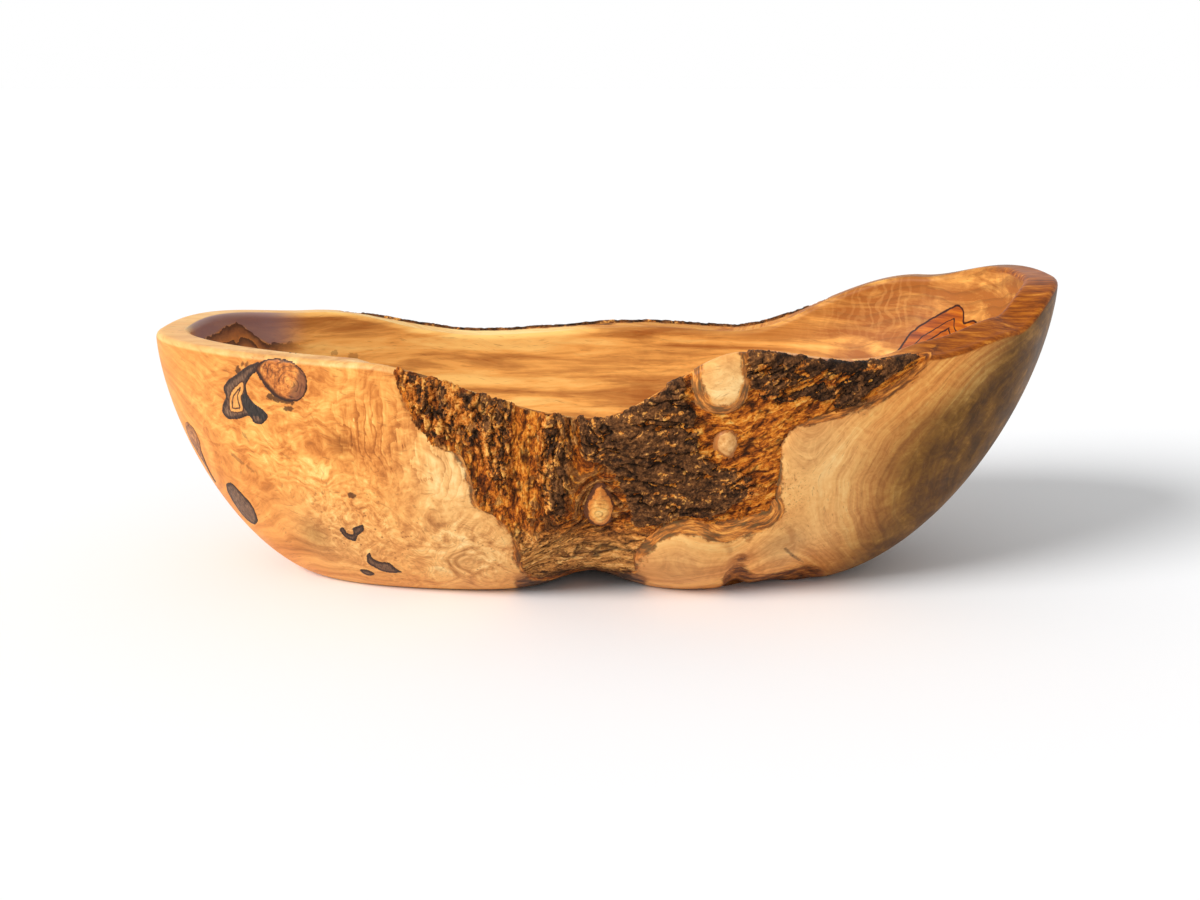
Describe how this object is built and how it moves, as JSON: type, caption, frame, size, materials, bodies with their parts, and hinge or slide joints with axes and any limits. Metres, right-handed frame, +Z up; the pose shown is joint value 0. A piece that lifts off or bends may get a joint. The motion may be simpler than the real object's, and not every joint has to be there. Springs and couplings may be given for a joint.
{
  "type": "fruit bowl",
  "caption": "Boat-shaped wooden fruit bowl with one raised end, a deep dished hollow, a thick rounded rim and natural bark left along both long sides.",
  "frame": {"origin": "On the table in the plane of the flat foot, under the middle of the rim.", "axes": "+X towards the high end, -Y out of the front with the bark waist, +Z up."},
  "size_m": [0.38, 0.176, 0.126],
  "materials": {
    "wood": "oiled satin",
    "inner_bark": "fibrous matte",
    "outer_bark": "rough matte",
    "knot": "oiled satin",
    "bark_pocket": "oiled satin"
  },
  "bodies": {
    "root": {"bowl_body": "wood", "inner_bark_front": "inner_bark", "inner_bark_rear": "inner_bark", "bark_plate_left": "outer_bark", "bark_plate_middle": "outer_bark", "bark_plate_centre": "outer_bark", "bark_plate_right": "outer_bark", "bark_plate_rear": "outer_bark", "knot_round": "knot", "knot_side": "knot", "knot_teardrop": "knot", "knot_bud": "knot", "bark_pocket_loop": "bark_pocket", "bark_pocket_oval": "bark_pocket", "bark_pocket_upper": "bark_pocket", "bark_pocket_lower": "bark_pocket", "bark_pocket_small": "bark_pocket"}
  },
  "joints": []
}
